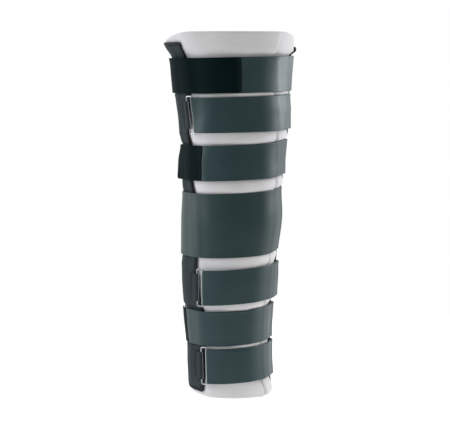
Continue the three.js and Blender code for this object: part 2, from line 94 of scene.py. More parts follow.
# Straps from the thigh down: middle height at the front, climb over the span of CLIMB_ANGLES and the angle
# where it ends, side of the ring, and the angles of its front bar, the sewn end, the tab's seam and its end
STRAP_COLUMNS = ("name", "z", "climb", "climb_to", "ring", "bar", "sewn", "seam", "end")
RINGED_STRAPS = [Sizes(**dict(zip(STRAP_COLUMNS, row)), width=STRAP_WIDTH) for row in (
    ("thigh_strap_top", 448.9, 2.2, 330, "right", 356, 152, 258.8, 157),
    ("thigh_strap_middle", 395.3, 2.5, 330, "left", 210.5, 388, 358, 383),
    ("thigh_strap_lower", 329.6, 4, 330, "right", 356, 150, 217, 166),
    ("calf_strap_upper", 157.7, 6, 290, "left", 223, 388, 356, 383),
    ("calf_strap_middle", 99.0, 5, 282, "right", 356, 152, 184, 157),
    ("calf_strap_lower", 46.6, 4, 282, "left", 224.5, 388, 356, 383),
)]
KNEE_STRAP = Sizes(name="knee_strap", z=243.1, climb=4, climb_to=330, width=89, start=152, stop=388)
STRAPS = sorted([*RINGED_STRAPS, KNEE_STRAP], key=lambda strap: strap.z)
CLIMB_ANGLES = Sizes(start=222, level=250, span=70)
LOOSE_TAB = Sizes(strap="thigh_strap_lower", corners=(3, 0), length=16)

# How far the layers are moved outwards at a strap's lower edge, middle and upper edge, first on the left of
# the limb and then on the right. A negative value is a strap pulled into the foam.
SOFTNESS = {
    "thigh_strap_top": ((-1.4, -1.4, -2.8), (-4.8, -5.6, -5.6)),
    "thigh_strap_middle": ((1.2, 0, 0), (-1.4, -2.8, -5.6)),
    "thigh_strap_lower": ((0, 0, -2.8), (-4.2, -5.6, -5.6)),
    "knee_strap": ((0, 1, -1.4), (-2.6, -1.4, -4.8)),
    "calf_strap_upper": ((2, 2, 1.4), (0, 0, -1.4)),
    "calf_strap_middle": ((-1.8, -1.4, -1.4), (-4.9, -5.6, -5.6)),
    "calf_strap_lower": ((1.4, 2, 1.4), (-1.6, -2.4, -2.8)),
}
# The same at the top of the wrap, and how far over the top strap that is reached
SOFT_TOP = (1.5, 1.4)
SOFT_TOP_RISE = (18, 7)
SOFT_ANGLES = (198, 342)
SIDE_BLEND = (235, 305)
STRAPS_END = Sizes(left=(105, 145), right=(395, 435))

# The front is flatter than the sides: height, angle and rise of the left bend, and of the right bend
BENDS = np.array([
    (0, 222, 6, 300, 6),
    (14, 223, 5, 299, 5),
    (28, 228, 2, 292, 0),
    (100, 226, 2.5, 290, 0),
    (160, 224, 2, 290, 0),
    (243, 222, 3.5, 288, 1),
    (330, 215, 6, 288, 1.5),
    (395, 231, 5, 284, 2),
    (449, 227, 2.5, 283, 1.5),
    (470, 226, 3, 284, 2),
    (488, 219, 5.5, 293, 5),
    (508, 218, 6.5, 295, 5.5),
])
BEND_SIDE = 34
BEND_DIP = 0.35
BEND_SOFTNESS = (-7, -3.5, 0, 3.5, 7)
# What the flap loses of its thickness at its edge, by height
THIN_FLAP = Sizes(reach=34, loss=((0, 160, 330, 508), (5.6, 5.6, 4, 2)))
# The foam swells between the straps and below the lowest, except beside the flap's edge on the calf
SWELL = Sizes(level=1.2, gap=6, narrow=1.6, low_end=(1.4, 3.2), end_reach=16)
SWELL_CLEAR = Sizes(left=(0, 7), over_left=(-4, 6), right=(-5, 1), over_right=(-8, 4))
HOLLOW = Sizes(share=0.85, reach=12, heights=(183, 200))
# A panel comes out again between the straps, less so further back from its front edge and lower down
PANEL_RELIEF = {"level": 0.8, "share": 0.6, "left": (54, 72), "right": (18, 48), "low": (110, 260)}


def smoothstep(x, low, high):
    t = np.clip((x - low) / (high - low), 0, 1)
    return t * t * (3 - 2 * t)


def lerp(a, b, t):
    return a + (b - a) * t


def unit(vectors):
    return vectors / np.linalg.norm(vectors, axis=-1, keepdims=True)


def around(angle):
    """The same turn between 90 degrees, at the back, and 450."""
    return (np.asarray(angle, dtype=float) - 90) % 360 + 90


def section_at(z):
    """The section table at heights z, by a cubic curve through its rows. Columns are on the first axis."""
    z = np.clip(np.asarray(z, dtype=float), 0, LENGTH)
    row = np.clip(np.searchsorted(SECTIONS[:, HEIGHT], z) - 1, 0, len(SECTIONS) - 2)
    rise = SECTIONS[row + 1] - SECTIONS[row]
    step = rise[..., :1]
    t = (z[..., None] - SECTIONS[row][..., :1]) / step
    bend_a = step * SLOPES[row] - rise
    bend_b = rise - step * SLOPES[row + 1]
    return np.moveaxis(SECTIONS[row] + t * rise + t * (1 - t) * ((1 - t) * bend_a + t * bend_b), -1, 0)


def limb_radius(angle, section):
    """Distance of the first layer's outer face from the section's middle."""
    turn = np.radians(angle)
    return 1 / np.hypot(np.cos(turn) / section[HALF_WIDTH], np.sin(turn) / section[HALF_DEPTH])


def place(angle, radius, section, z):
    turn = np.radians(angle)
    x = section[SHIFT_X] + radius * np.cos(turn)
    y = section[SHIFT_Y] + radius * np.sin(turn)
    return np.stack(np.broadcast_arrays(x, y, np.asarray(z, dtype=float)), axis=-1)


def lap_lift(wrap_angle):
    """How far the wrap is lifted at a wrap angle, which runs on past 360 degrees into the flap."""
    return (FOAM_THICKNESS + SEAT_GAP) * smoothstep(wrap_angle - 360, *LAP_RISE)


def thinned(wrap_angle, z, section):
    """How much of its thickness the flap loses towards its free edge, where the straps press it down."""
    to_edge = np.radians(section[FLAP] + 360 - wrap_angle) * section[HALF_DEPTH]
    return np.interp(z, *THIN_FLAP.loss) * (1 - smoothstep(to_edge, 0, THIN_FLAP.reach))


def climb_at(strap, angle):
    clamped = np.clip(angle, CLIMB_ANGLES.start, strap.climb_to)
    return strap.climb * (clamped - CLIMB_ANGLES.level) / CLIMB_ANGLES.span


def from_right(angle):
    """0 on the left of the limb and 1 on the right, through the front."""
    return smoothstep(around(angle), *SIDE_BLEND)


def strap_edges(strap):
    return [strap.z + share * strap.width for share in (-0.5, 0, 0.5)]


def soft_column(side):
    """Heights of the straps' edges and middles on one side, and how far the layers move there."""
    heights = [z + climb_at(strap, SOFT_ANGLES[side]) for strap in STRAPS for z in strap_edges(strap)]
    values = [value for strap in STRAPS for value in SOFTNESS[strap.name][side]]
    top = heights[-1] + SOFT_TOP_RISE[side]
    return np.array([0, *heights, top]), np.array([0, *values, SOFT_TOP[side]])


SOFT_LEFT, SOFT_RIGHT = soft_column(0), soft_column(1)


def eased(z, heights, values):
    """Values between the heights of a column, level past its ends."""
    row = np.clip(np.searchsorted(heights, z) - 1, 0, len(heights) - 2)
    return lerp(values[row], values[row + 1], smoothstep(z, heights[row], heights[row + 1]))


def bent(angle, z):
    """How far the layers stand out at the two bends between the front and the sides."""
    angle = around(angle)
    left, left_rise, right, right_rise = (np.interp(z, BENDS[:, 0], column) for column in BENDS.T[1:])
    middle, half = (left + right) / 2, (right - left) / 2
    dip = -BEND_DIP * (left_rise + right_rise) / 2
    total = 0
    for offset in BEND_SOFTNESS:
        away = angle + offset - middle
        rise = np.where(away < 0, left_rise, right_rise)
        front = lerp(dip, rise, np.minimum(1, np.abs(away) / half) ** 2)
        side = rise * np.clip(1 - (np.abs(away) - half) / BEND_SIDE, 0, 1) ** 2
        total = total + np.where(np.abs(away) < half, front, side)
    return total / len(BEND_SOFTNESS)


def pressed(angle, z):
    """How far the straps move the layers, inwards where negative. No strap crosses the back."""
    turn = around(angle)
    under_straps = smoothstep(turn, *STRAPS_END.left) * (1 - smoothstep(turn, *STRAPS_END.right))
    soft = lerp(eased(z, *SOFT_LEFT), eased(z, *SOFT_RIGHT), from_right(angle))
    return soft * under_straps


def moved(angle, z):
    """How far the layers lie out of their drawn place, inwards where negative."""
    return pressed(angle, z) + bent(angle, z)


def between_straps(angle, z):
    """0 under the straps, up to 1 in the middle of the gaps between them, and the same for narrow gaps."""
    angle = around(angle)
    edges = [strap_edges(strap)[end] + climb_at(strap, angle) for strap in STRAPS for end in (0, 2)]
    share, narrow = 0, 0
    for high, next_low in zip(edges[1::2], edges[2::2]):
        gap = next_low - high
        across = np.clip((z - high) / gap, 0, 1)
        bump = np.maximum(0, 1 - np.abs(2 * across - 1) ** 2.5) ** 0.6
        share = share + np.minimum(1, gap / SWELL.gap) * bump
        narrow = narrow + (gap < SWELL.gap) * bump
    return share, narrow


def panel_relief(side, back, angle, z):
    """How far a panel comes out again between the straps at a place back from its front edge."""
    given_back = PANEL_RELIEF["share"] * np.maximum(0, -pressed(angle, z))
    held = (1 - smoothstep(back, *PANEL_RELIEF[side])) * smoothstep(z, *PANEL_RELIEF["low"])
    share, _ = between_straps(angle, z)
    return share * (PANEL_RELIEF["level"] + given_back) * held


def swelling(angle, z, section):
    """How far the foam swells out between the straps and at its two ends, from one panel to the other."""
    angle = around(angle)
    right_share = from_right(angle)
    share, narrow = between_straps(angle, z)
    between = share * np.maximum(0, SWELL.level - pressed(angle, z))
    between = between + SWELL.narrow * narrow * (1 - right_share)
    beside_flap = smoothstep(angle, section[FLAP], section[FLAP] + HOLLOW.reach)
    between = between * (1 - HOLLOW.share * beside_flap * (1 - smoothstep(z, *HOLLOW.heights)))
    lowest = strap_edges(STRAPS[0])[0] + climb_at(STRAPS[0], angle)
    under_straps = 1 - smoothstep(z, lowest - SWELL.end_reach, lowest)
    low_end = lerp(*SWELL.low_end, right_share) * under_straps
    past_left = smoothstep(angle - 180 - section[LEFT_EDGE], *SWELL_CLEAR.left)
    over_left = smoothstep(z - PANEL_TOP["left"], *SWELL_CLEAR.over_left)
    past_right = smoothstep(angle - 360 + section[RIGHT_EDGE], *SWELL_CLEAR.right)
    over_right = smoothstep(z - PANEL_TOP["right"], *SWELL_CLEAR.over_right)
    return (between + low_end) * np.maximum(past_left, over_left) * (1 - past_right * (1 - over_right))


# The two stay panels, with the sign of the turn from the side towards the front
SIDES = {"left": 1, "right": -1}


def panel_edge(side, section):
    return 180 + section[LEFT_EDGE] if side == "left" else 360 - section[RIGHT_EDGE]


def panel_radius(section):
    return (section[HALF_WIDTH] + section[HALF_DEPTH] + PANEL.thickness) / 2


def panel_angle(side, back, section):
    edge = panel_edge(side, section)
    if side == "left":
        edge = lerp(edge, 180 + section[LEFT_BACK], smoothstep(back, 0, LEFT_PULL_REACH))
    return edge - SIDES[side] * np.degrees(back / panel_radius(section))


def panel_point(side, back, z, height):
    section = section_at(z)
    angle = panel_angle(side, back, section)
    out = moved(angle, z) + panel_relief(side, back, angle, z)
    return place(angle, limb_radius(angle, section) + PANEL.seat + height + out, section, z)


def panel_height(back):
    """Height of the panel's outer face, raised over the stay."""
    from_middle = np.abs(back - PANEL.width / 2)
    edge = RIDGE.width / 2
    return PANEL.thickness + RIDGE.height * (1 - smoothstep(from_middle, edge - RIDGE.slope, edge))


def over_panel(side, angle, z, height):
    """Points at a height over the panel, or over the level of its binding in front of it."""
    section = section_at(z)
    back = SIDES[side] * np.radians(panel_edge(side, section) - angle) * panel_radius(section)
    level = PANEL.seat + np.maximum(BINDING.height, panel_height(back))
    return place(angle, limb_radius(angle, section) + level + height + moved(angle, z), section, z)


# Outline of wrap and panels at one height, pulled taut, on a grid of angles
OUTLINE_STEP = 0.75
OUTLINE_ANGLES = np.arange(132, 408.1, OUTLINE_STEP)
OUTLINE_ROWS = 9
LIMB_STEP = 1.5
BACK_STEP = 2.0
TAUT_WINDOW = 4.5
STRAP_OUT = 6


def taut_row(z):
    """Radius of the taut outline at one height on the grid of angles."""
    section = section_at(z)
    angles = np.append(np.arange(0, 360, LIMB_STEP), section[FLAP])
    flap_lift = lap_lift(angles + 360) - thinned(angles + 360, z, section)
    lift = np.where(angles <= section[FLAP], np.maximum(0, flap_lift), 0)
    parts = [place(angles, limb_radius(angles, section) + lift, section, z)]
    back = np.arange(0, PANEL.width + 1, BACK_STEP)
    from_edge = np.minimum(back, PANEL.width - back)
    height = np.where(from_edge < BINDING.width, BINDING.height, panel_height(back))
    for side in SIDES:
        turn = panel_angle(side, back, section)
        parts.append(place(turn, limb_radius(turn, section) + PANEL.seat + height, section, z))
    points = np.concatenate(parts)[:, :2] - section[[SHIFT_X, SHIFT_Y]]
    corners = points[convex_hull_2d(points.tolist())]
    turns = np.degrees(np.arctan2(corners[:, 1], corners[:, 0])) % 360
    order = np.argsort(turns)
    corners, turns = corners[order], turns[order]
    after = np.searchsorted(turns, OUTLINE_ANGLES % 360) % len(corners)
    a, b = corners[after - 1], corners[after]
    along_x, along_y = (b - a).T
    rays = np.radians(OUTLINE_ANGLES)
    return (a[:, 0] * along_y - a[:, 1] * along_x) / (np.cos(rays) * along_y - np.sin(rays) * along_x)


def soften(row):
    """A strap is too stiff for a sharp corner: it keeps to the highest point near it and bends round it."""
    reach = int(TAUT_WINDOW / OUTLINE_STEP)
    padded = np.pad(row, reach, mode="edge")
    highest = np.max([padded[k:k + len(row)] for k in range(2 * reach + 1)], axis=0)
    weights = np.exp(-0.5 * (np.arange(-reach, reach + 1) * 2 / reach) ** 2)
    weights /= weights.sum()
    return np.convolve(np.pad(highest, reach, mode="edge"), weights, mode="valid")


# Each strap also gets its length for one degree
for strap in STRAPS:
    strap.heights = strap.z + strap.width * np.linspace(-0.5, 0.5, OUTLINE_ROWS)
    strap.outline = np.array([soften(taut_row(z)) for z in strap.heights])
    strap.degree = math.radians(section_at(strap.z)[HALF_WIDTH] + STRAP_OUT)


def taut_radius(strap, angle, z):
    """Radius of the taut outline by interpolation between the strap's rows and the grid of angles."""
    heights, table = strap.heights, strap.outline
    row = np.clip((z - heights[0]) / (heights[1] - heights[0]), 0, len(heights) - 1.001)
    column = np.clip((angle - OUTLINE_ANGLES[0]) / OUTLINE_STEP, 0, len(OUTLINE_ANGLES) - 1.001)
    i, j = row.astype(int), column.astype(int)
    s, t = row - i, column - j
    lower = lerp(table[i, j], table[i, j + 1], t)
    upper = lerp(table[i + 1, j], table[i + 1, j + 1], t)
    return lerp(lower, upper, s)


def strap_point(strap, angle, z, offset):
    """Points of a strap's middle surface, offset from the taut outline, with z before the climb."""
    angle, z, offset = np.broadcast_arrays(*(np.asarray(v, dtype=float) for v in (angle, z, offset)))
    height = z + climb_at(strap, angle)
    there = section_at(height)
    taper = limb_radius(angle, there) - limb_radius(angle, section_at(z))
    radius = taut_radius(strap, angle, z) + taper + offset + moved(angle, height)
    return place(angle, radius, there, height)


# Meshes
def grid_quads(index):
    corners = (index[:-1, :-1], index[1:, :-1], index[1:, 1:], index[:-1, 1:])
    return np.stack([c.ravel() for c in corners], axis=-1)


def facing_out(vertices, quads):
    """The quads turned so that the closed mesh they make has a positive volume."""
    a, b, c, d = (vertices[quads[:, k]] for k in range(4))
    volume = np.einsum("ij,ij->", a, np.cross(b, c)) + np.einsum("ij,ij->", a, np.cross(c, d))
    return quads if volume > 0 else quads[:, ::-1]


def closed_sheet(outer, inner, uv):
    """A closed sheet from two grids of points that share their border, with one uv pair a grid point."""
    rows, columns = outer.shape[:2]
    front = np.arange(rows * columns).reshape(rows, columns)
    back = front.copy()
    inside = (rows - 2, columns - 2)
    back[1:-1, 1:-1] = rows * columns + np.arange(inside[0] * inside[1]).reshape(inside)
    vertices = np.concatenate([outer.reshape(-1, 3), inner[1:-1, 1:-1].reshape(-1, 3)])
    places = np.concatenate([uv.reshape(-1, 2), uv[1:-1, 1:-1].reshape(-1, 2)])
    quads = np.concatenate([grid_quads(front), grid_quads(back)[:, ::-1]])
    return vertices, facing_out(vertices, quads), places


def closed_hoop(rings, uv):
    """A closed bar from a loop of rings of points."""
    count, corners = rings.shape[:2]
    index = np.arange(count * corners).reshape(count, corners)
    wrapped = np.pad(index, ((0, 1), (0, 1)), mode="wrap")
    vertices = rings.reshape(-1, 3)
    return vertices, facing_out(vertices, grid_quads(wrapped)), uv.reshape(-1, 2)


def add_object(name, data):
    thing = bpy.data.objects.new(name, data)
    bpy.context.collection.objects.link(thing)
    return thing


def add_piece(name, mesh_parts, material, slot, *nodes):
    vertices, quads, uv = mesh_parts
    mesh = bpy.data.meshes.new(name)
    mesh.from_pydata((vertices * MM).tolist(), [], quads.tolist())
    layer = mesh.uv_layers.new(name=CLOTH_MAP)
    corners = np.empty(len(mesh.loops), dtype=np.int32)
    mesh.loops.foreach_get("vertex_index", corners)
    layer.uv.foreach_set("vector", uv[corners].astype(np.float32).ravel())
    mesh.shade_smooth()
    mesh.materials.append(material)
    piece = add_object(name, mesh)
    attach(piece, "root")
    if nodes:
        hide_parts(*nodes)
    return piece


def rim(distance, reach):
    """Share of the full thickness at a distance from a rounded edge."""
    short = np.clip(1 - distance / reach, 0, 1)
    return np.sqrt(1 - short * short)


def corner_inset(along, radius):
    """Distance that a rounded corner takes from a straight edge, along from the corner."""
    short = np.maximum(0, radius - along)
    return radius - np.sqrt(radius * radius - short * short)


def spaced(length, step, fine):
    """Places from 0 to length, about a step apart, with the fine distances near both ends."""
    count = max(2, round((length - 2 * fine[-1]) / step))
    middle = np.linspace(fine[-1], length - fine[-1], count + 1)
    return np.concatenate([fine[:-1], middle, length - np.array(fine[:-1])[::-1]])


def running_length(points):
    """Length along the first axis of a line of points, or of a grid of them averaged over its columns."""
    steps = np.linalg.norm(np.diff(points, axis=0), axis=-1)
    return np.append(0, np.cumsum(steps.reshape(len(steps), -1).mean(axis=1)))


WAVES = Sizes(count=6, shortest=0.6, longest=1.5, phases=7, level=3.5)


def wobble(a, b, seed, period):
    """Smooth unevenness between about -1 and 1 over two lengths, from waves in several directions."""
    draws = np.random.default_rng(seed).uniform(0, 1, (WAVES.count, 3))
    total = 0
    for turn, phase, pitch in draws:
        direction = 2 * math.pi * turn
        wave = 2 * math.pi / (period * lerp(WAVES.shortest, WAVES.longest, pitch))
        along = a * math.cos(direction) + b * math.sin(direction)
        total = total + np.sin(wave * along + WAVES.phases * phase)
    return total / WAVES.level


# Materials
def shader_of(name):
    material = bpy.data.materials.new(name)
    material.use_nodes = True
    return material, material.node_tree, material.node_tree.nodes["Principled BSDF"]


def feed(socket, value):
    """Gives an input a plain value, or a link from an output."""
    if isinstance(value, bpy.types.NodeSocket):
        socket.id_data.links.new(value, socket)
    else:
        socket.default_value = value


def set_inputs(node, **values):
    """Feeds a node's inputs by their names, with an underscore for each space."""
    for name, value in values.items():
        feed(node.inputs[name.replace("_", " ")], value)


def new_node(tree, kind, **values):
    node = tree.nodes.new("ShaderNode" + kind)
    set_inputs(node, **values)
    return node


def math_node(tree, operation, *values):
    node = new_node(tree, "Math")
    node.operation = operation
    for socket, value in zip(node.inputs, values):
        feed(socket, value)
    return node.outputs[0]


def noise(tree, scale, detail):
    places = new_node(tree, "TexCoord").outputs["Object"]
    return new_node(tree, "TexNoise", Scale=scale, Detail=detail, Vector=places).outputs["Fac"]


def ranged(tree, value, *limits):
    """A value moved smoothly from one range to another, each with its two ends."""
    node = new_node(tree, "MapRange", Value=value)
    node.interpolation_type = "SMOOTHSTEP"
    for socket, limit in zip(node.inputs[1:5], limits):
        feed(socket, limit)
    return node.outputs["Result"]


def cloth_axes(tree):
    """Length and width on the cloth in millimetres."""
    cloth = new_node(tree, "UVMap")
    cloth.uv_map = CLOTH_MAP
    return new_node(tree, "SeparateXYZ", Vector=cloth.outputs[0]).outputs[:2]


def thread_waves(tree, axes, pitches):
    """Crossing threads as a value between 0 and 1."""
    turns = [math_node(tree, "MULTIPLY", axis, 2 * math.pi / pitch) for axis, pitch in zip(axes, pitches)]
    crossed = math_node(tree, "MULTIPLY", *(math_node(tree, "SINE", turn) for turn in turns))
    return math_node(tree, "MULTIPLY_ADD", crossed, 0.5, 0.5)


def mixed_colour(tree, factor, first, second):
    """A colour between two, each an output or a plain colour."""
    node = new_node(tree, "Mix")
    node.data_type = "RGBA"
    set_inputs(node, Factor=factor)
    for socket, colour in zip(node.inputs[6:8], (first, second)):
        feed(socket, (*colour, 1) if isinstance(colour, tuple) else colour)
    return node.outputs[2]


# Scale and detail of the noise, depth of a thread in metres, and the threads' share in the tone
FUZZ = (900.0, 3.0)
MOTTLE = (45.0, 4.0)
THREAD_DEPTH = 0.0004
THREAD_TONE = 0.35


def fabric(name, dark, light, weave, depth, roughness, specular, fold_highlight=None, fold_highlight_reach=None):
    """Woven or knitted cloth: crossing threads, fuzz, and a colour that varies between two tones.

    A painted highlight, a paler colour, shows along a fold up to the highlight reach from the line where
    the length on the cloth is 0.
    """
    material, tree, shader = shader_of(name)
    axes = cloth_axes(tree)
    waves = thread_waves(tree, axes, weave)
    height = math_node(tree, "ADD", waves, noise(tree, *FUZZ))
    bump = new_node(tree, "Bump", Strength=depth, Distance=THREAD_DEPTH, Height=height)
    tone = math_node(tree, "MULTIPLY_ADD", waves, THREAD_TONE, noise(tree, *MOTTLE))
    colour = mixed_colour(tree, tone, dark, light)
    # Painted highlight: the cloth is painted paler along the fold line, where a fold would catch the light
    if fold_highlight:
        near = ranged(tree, math_node(tree, "ABSOLUTE", axes[0]), *fold_highlight_reach, 1, 0)
        colour = mixed_colour(tree, near, colour, fold_highlight)
    set_inputs(shader, Base_Color=colour, Normal=bump.outputs[0])
    set_inputs(shader, Roughness=roughness, Specular_IOR_Level=specular)
    return material


def plated_wire(name, colour, wear_size, roughness):
    """Plated metal, with a roughness that varies between two values."""
    material, tree, shader = shader_of(name)
    low, high = roughness
    worn = math_node(tree, "MULTIPLY_ADD", noise(tree, *wear_size), high - low, low)
    set_inputs(shader, Base_Color=(*colour, 1), Metallic=1.0, Roughness=worn)
    return material


# Name, dark and light tones, pitches of the threads, depth of the weave, roughness, gloss, and the colour
# of the painted highlight along a fold with the distances over which it fades
FOAM = fabric("foam_cover", (0.578, 0.565, 0.573), (0.688, 0.673, 0.682), (0.9, 1.3), 0.25, 0.8, 0.1)
PANEL_CLOTH = fabric("panel_fabric", (0.019, 0.027, 0.030), (0.036, 0.046, 0.050), (1.1, 1.1), 0.3,
                     0.6, 0.05)
# The keeper's tape carries a painted highlight, a paler colour along its fold round the ring's rear bar
KEEPER_CLOTH = fabric("keeper_tape", (0.015, 0.021, 0.024), (0.030, 0.038, 0.042), (0.9, 0.9), 0.3,
                      0.6, 0.05, (0.35, 0.37, 0.38), (0.2, 0.9))
TAPE = fabric("binding_tape", (0.006, 0.008, 0.009), (0.016, 0.019, 0.020), (0.8, 0.8), 0.5, 0.6, 0.2)
THREAD = fabric("thread", (0.012, 0.014, 0.015), (0.030, 0.034, 0.036), (0.5, 0.5), 0.4, 0.6, 0.3)
# The strap cloth carries a painted highlight, a pale line along its fold round the ring's front bar
LOOP = fabric("strap_loop", (0.008, 0.029, 0.033), (0.016, 0.041, 0.046), (0.7, 0.7), 0.1, 0.38, 0.32,
              (0.5, 0.53, 0.55), (2.3, 3.3))
KNEE_LOOP = fabric("knee_strap_loop", (0.007, 0.027, 0.028), (0.014, 0.037, 0.038), (0.8, 0.8), 0.1,
                   0.38, 0.32)
HOOK = fabric("hook_tab", (0.0015, 0.006, 0.007), (0.003, 0.010, 0.011), (1.2, 1.2), 0.3, 0.5, 0.02)
CHROME = plated_wire("ring_wire", (0.34, 0.35, 0.36), (600.0, 3.0), (0.06, 0.24))


# Stitches: short threads along a line on a surface. Each ring of a thread has its share of the length, its
# share of the radius and its height in radii.
STITCH = Sizes(pitch=3.2, length=2.3, radius=0.32)
STITCH_RINGS = ((0.0, 0.15, -0.5), (0.14, 0.8, 0.1), (0.5, 1.0, 0.55), (0.86, 0.8, 0.1), (1.0, 0.15, -0.5))
STITCH_SIDES = 6
THREAD_LIFT = 0.05


def raised_line(at, height):
    """Points at a height, and the directions out of the surface there, from a function of the height."""
    points = at(height)
    return points, unit(at(height + 1) - points)


def stitch_line(points, normals, pitch=STITCH.pitch, length=STITCH.length, radius=STITCH.radius):
    """Vertices and quads of one row of stitches along a line with its surface normals."""
    along = running_length(points)
    count = max(1, int(along[-1] / pitch))
    starts = (np.arange(count) + 0.5) * along[-1] / count - length / 2

    def at(values, where):
        return np.stack([np.interp(where, along, column) for column in values.T], axis=-1)

    direction = unit(at(points, starts + length) - at(points, starts))
    normal = unit(at(normals, starts + length / 2))
    across = unit(np.cross(direction, normal))
    turns = 2 * math.pi * np.arange(STITCH_SIDES)[:, None] / STITCH_SIDES
    circle = across[:, None] * np.cos(turns) + normal[:, None] * np.sin(turns)
    rings = []
    for share, size, height in STITCH_RINGS:
        middle = at(points, starts + share * length) + normal * radius * height
        rings.append(middle[:, None] + radius * size * circle)
    vertices = np.concatenate(rings, axis=1)
    index = np.arange(len(STITCH_RINGS) * STITCH_SIDES).reshape(-1, STITCH_SIDES)
    sides = grid_quads(np.pad(index, ((0, 0), (0, 1)), mode="wrap"))
    ends = (index[0][::-1], index[-1])
    caps = np.array([end[half] for end in ends for half in ([0, 1, 2, 3], [0, 3, 4, 5])])
    one = facing_out(vertices[0], np.concatenate([sides, caps]))
    quads = one + index.size * np.arange(count)[:, None, None]
    return vertices.reshape(-1, 3), quads.reshape(-1, 4)


def add_stitching(name, lines):
    """One piece from several rows of stitches."""
    vertices, quads, base = [], [], 0
    for points, normals, *sizes in lines:
        line_vertices, line_quads = stitch_line(points, normals, *sizes)
        vertices.append(line_vertices)
        quads.append(line_quads + base)
        base += len(line_vertices)
    vertices = np.concatenate(vertices)
    mesh_parts = (vertices, np.concatenate(quads), vertices[:, [0, 2]])
    return add_piece(name, mesh_parts, THREAD, "binding_tape")


# Foam wrap: a sheet that goes round the leg once and laps over the front. Its grid counts length on one
# radius, and its lines run straight beside its two upright edges.
WRAP_STEP = 3.2
WRAP_RADIUS = 62
WRAP_STRAIGHT = 10
UNDER_FLAP = 3
EDGE_FINE = [0, 0.12, 0.45, 1.0, 1.8, 2.9, 4.2]
WRAP_UNEVEN = Sizes(size=0.25, seed=11, period=60)


def top_edge(wrap_angle):
    """The wrap's top edge is level across the front, and lower at the sides and back."""
    turn = np.abs((wrap_angle - TOP_EDGE.middle + 180) % 360 - 180)
    return LENGTH - TOP_EDGE.drop * smoothstep(turn, TOP_EDGE.level, TOP_EDGE.low)


def foam_wrap():
    arc_scale = math.radians(1) * WRAP_RADIUS
    span = (SECTIONS[0][FLAP] + 360 - UNDER_EDGE) * arc_scale
    arcs = spaced(span, WRAP_STEP, EDGE_FINE)
    shares = spaced(LENGTH, WRAP_STEP, EDGE_FINE) / LENGTH
    arc, share = np.meshgrid(arcs, shares)
    flap_edge = section_at(share * LENGTH)[FLAP] + 360
    from_start = arc / arc_scale
    from_end = (span - arc) / arc_scale
    straight = lerp(UNDER_EDGE, flap_edge, arc / span)
    near_end = np.where(from_end < WRAP_STRAIGHT, flap_edge - from_end, straight)
    wrap_angle = np.where(from_start < WRAP_STRAIGHT, UNDER_EDGE + from_start, near_end)
    corner = corner_inset(span - arc, FLAP_CORNER)
    top = top_edge(wrap_angle) - corner
    z = lerp(corner, top, share)
    to_edge = np.minimum.reduce([arc, span - arc, z - corner, top - z])
    half = FOAM_THICKNESS / 2 * rim(to_edge, FOAM_THICKNESS / 2)
    section = section_at(z)
    under_flap = (wrap_angle < 360) & (wrap_angle < flap_edge - 360 + UNDER_FLAP)
    out = moved(wrap_angle, z)
    uneven = WRAP_UNEVEN.size * wobble(arc, z, WRAP_UNEVEN.seed, WRAP_UNEVEN.period)
    swell = np.where(under_flap, 0, swelling(wrap_angle, z, section)) + uneven
    relief = (swell - thinned(wrap_angle, z, section)) * rim(to_edge, 1)
    middle = limb_radius(wrap_angle, section) + lap_lift(wrap_angle) - FOAM_THICKNESS / 2 + out
    outer = place(wrap_angle, middle + half + relief, section, z)
    inner = place(wrap_angle, middle - half, section, z)
    outer[half == 0] = inner[half == 0]
    return closed_sheet(outer, inner, np.stack([arc, z], axis=-1))


# Stay panels
PANEL_STEP = (1.6, 2.6)
PANEL_FINE = [0, 0.15, 0.5, 1.1]
PANEL_END_FINE = [*PANEL_FINE, 2.0, 3.3, 4.8]
PANEL_RIM = 1.2
BINDING_GAP = 0.25
STITCH_GROOVE = Sizes(depth=0.45, width=1.3)
POCKET_LINES = (21.0, 55.0)
POCKET_END = 14.0
POCKET_MARGINS = (2, 1)
BAR_TACK = Sizes(back=(7, 14), heights=(21.0, 21.8, 22.6), stitch=(7, 6.6, 0.45))


def groove(distance):
    """Dip of the cloth beside a row of stitches."""
    return STITCH_GROOVE.depth * np.exp(-((distance / STITCH_GROOVE.width) ** 2))


def pocket_ends(side):
    return PANEL.bottom + POCKET_END, PANEL_TOP[side] - POCKET_END


def panel_surface(side, back, z):
    """Height of the panel's outer face with its sewn lines."""
    height = panel_height(back)
    low, high = pocket_ends(side)
    past_end, past_line = POCKET_MARGINS
    in_pocket = (z > low - past_end) & (z < high + past_end)
    for line in POCKET_LINES:
        height = height - groove(back - line) * in_pocket
    between = (back > POCKET_LINES[0] - past_line) & (back < POCKET_LINES[1] + past_line)
    for end in (low, high):
        height = height - groove(z - end) * between
    return height


def stay_panel(side):
    inset = BINDING.width + BINDING_GAP
    corner = PANEL.corner - inset
    low, high = PANEL.bottom + inset, PANEL_TOP[side] - inset
    width = PANEL.width - 2 * inset
    z_values = low + spaced(high - low, PANEL_STEP[1], PANEL_END_FINE)
    shares = spaced(width, PANEL_STEP[0], PANEL_FINE) / width
    share, z = np.meshgrid(shares, z_values)
    to_end = np.minimum(z - low, high - z)
    start = inset + corner_inset(to_end, corner)
    back = lerp(start, PANEL.width - start, share)
    to_edge = np.minimum.reduce([back - start, PANEL.width - start - back, to_end])
    height = panel_surface(side, back, z)
    full = rim(to_edge, PANEL_RIM)
    middle = PANEL.thickness / 2
    outer = panel_point(side, back, z, lerp(middle, height, full))
    inner = panel_point(side, back, z, lerp(middle, 0, full))
    return closed_sheet(outer, inner, np.stack([back, z], axis=-1))


CORNER_STEPS = Sizes(least=4, per_radius=1.6)


